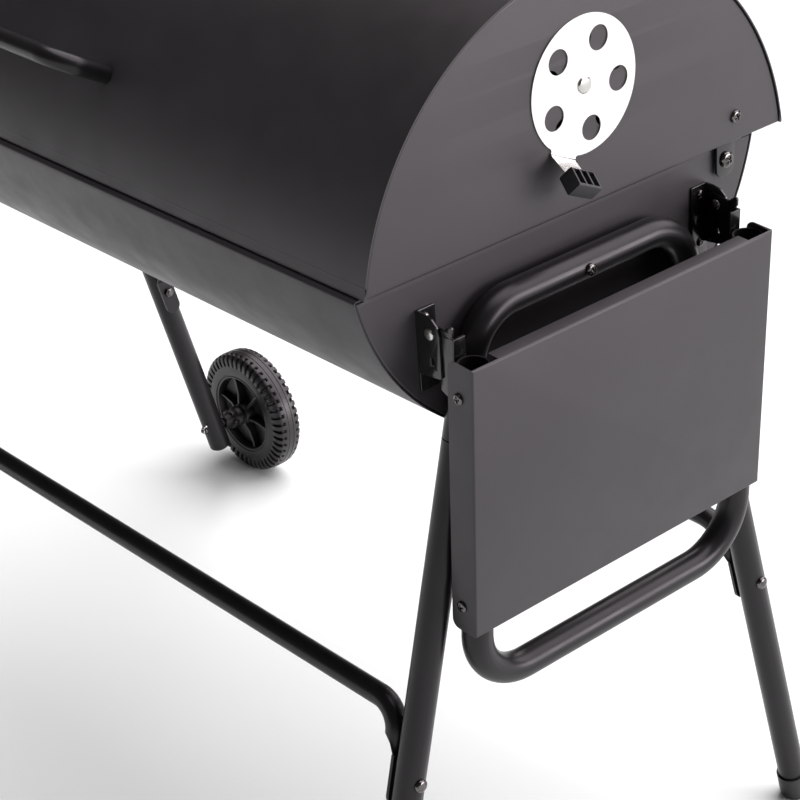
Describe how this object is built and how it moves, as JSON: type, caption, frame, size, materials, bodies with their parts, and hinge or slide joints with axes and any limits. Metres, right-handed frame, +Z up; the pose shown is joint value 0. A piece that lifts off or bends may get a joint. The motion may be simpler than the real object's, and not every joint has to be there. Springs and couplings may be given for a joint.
{
  "type": "barrel charcoal grill",
  "caption": "Horizontal half-barrel charcoal grill on two tube A-frames, with hinged lid, turning air damper, drop-down side shelf and two wheels.",
  "frame": {"origin": "on the ground, below the middle of the grill's bounding box, in the barrel's middle plane", "axes": "+X along the barrel towards the shelf end, -Y the front where the lid opens, +Z up"},
  "size_m": [1.0336, 0.6824, 0.9024],
  "materials": {
    "black_powder_coat": "satin powder coat with a fine texture",
    "gloss_black_enamel": "gloss black coating",
    "black_fasteners": "black coated steel",
    "zinc_steel": "bright zinc plate",
    "bright_steel": "polished steel sheet",
    "grip_plastic": "moulded black plastic",
    "cap_plastic": "soft moulded black plastic",
    "wheel_plastic": "moulded black plastic",
    "plated_wire": "plated wire",
    "charcoal_grate_steel": "black enamel"
  },
  "bodies": {
    "frame": {"bowl_shell": "black_powder_coat", "bowl_end_right": "black_powder_coat", "bowl_end_left": "black_powder_coat", "leg_hoop_right": "black_powder_coat", "leg_hoop_left": "black_powder_coat", "leg_front_right": "black_powder_coat", "leg_rear_right": "black_powder_coat", "leg_front_left": "black_powder_coat", "leg_rear_left": "black_powder_coat", "foot_cap_front": "cap_plastic", "foot_cap_rear": "cap_plastic", "leg_plug_front": "cap_plastic", "leg_plug_rear": "cap_plastic", "stretcher_front": "black_powder_coat", "stretcher_rear": "black_powder_coat", "stretcher_bolts": "black_fasteners", "stretcher_nuts": "black_fasteners", "hoop_screws": "black_fasteners", "charcoal_grate": "charcoal_grate_steel", "cooking_grate_left": "plated_wire", "cooking_grate_right": "plated_wire", "grate_rest_front": "gloss_black_enamel", "grate_rest_rear": "gloss_black_enamel", "coal_rest_right": "gloss_black_enamel", "coal_rest_left": "gloss_black_enamel", "shelf_bracket_front": "gloss_black_enamel", "shelf_bracket_rear": "gloss_black_enamel", "bracket_screws": "black_fasteners", "shelf_pivots": "zinc_steel", "axle_front": "zinc_steel", "axle_rear": "zinc_steel", "axle_spacers": "cap_plastic", "axle_washers": "cap_plastic", "axle_clips": "zinc_steel", "hinge_bolts": "black_fasteners", "hinge_washers": "zinc_steel"},
    "lid": {"lid_shell": "black_powder_coat", "lid_end_right": "black_powder_coat", "lid_end_left": "black_powder_coat", "lid_strap_right": "gloss_black_enamel", "lid_strap_left": "gloss_black_enamel", "lid_strap_screws": "black_fasteners", "lid_handle": "black_powder_coat", "lid_handle_screws": "black_fasteners", "damper_rivet": "zinc_steel"},
    "damper": {"damper_disc": "bright_steel", "damper_grip": "grip_plastic"},
    "shelf": {"shelf_panel": "black_powder_coat", "shelf_handle": "black_powder_coat", "shelf_screws": "black_fasteners", "hinge_plate_front": "gloss_black_enamel", "hinge_plate_rear": "gloss_black_enamel"},
    "wheel_f": {"wheel_front": "wheel_plastic"},
    "wheel_r": {"wheel_rear": "wheel_plastic"}
  },
  "joints": [
    {"name": "lid_hinge", "type": "hinge", "parent": "frame", "child": "lid", "pos_m": [0.01071, 0.1775, 0.6935], "axis": [-1, 0, 0], "range_deg": [0, 92]},
    {"name": "damper_turn", "type": "hinge", "parent": "lid", "child": "damper", "pos_m": [0.45571, 0.0164, 0.8055], "axis": [1, 0, 0], "range_deg": [-5, 31]},
    {"name": "shelf_fold", "type": "hinge", "parent": "frame", "child": "shelf", "pos_m": [0.46461, 0, 0.6648], "axis": [0, -1, 0], "range_deg": [0, 92.86]},
    {"name": "wheel_front_spin", "type": "hinge", "parent": "frame", "child": "wheel_f", "pos_m": [-0.44059, -0.317, 0.0762], "axis": [0, 1, 0], "continuous": true},
    {"name": "wheel_rear_spin", "type": "hinge", "parent": "frame", "child": "wheel_r", "pos_m": [-0.44059, 0.317, 0.0762], "axis": [0, 1, 0], "continuous": true}
  ]
}
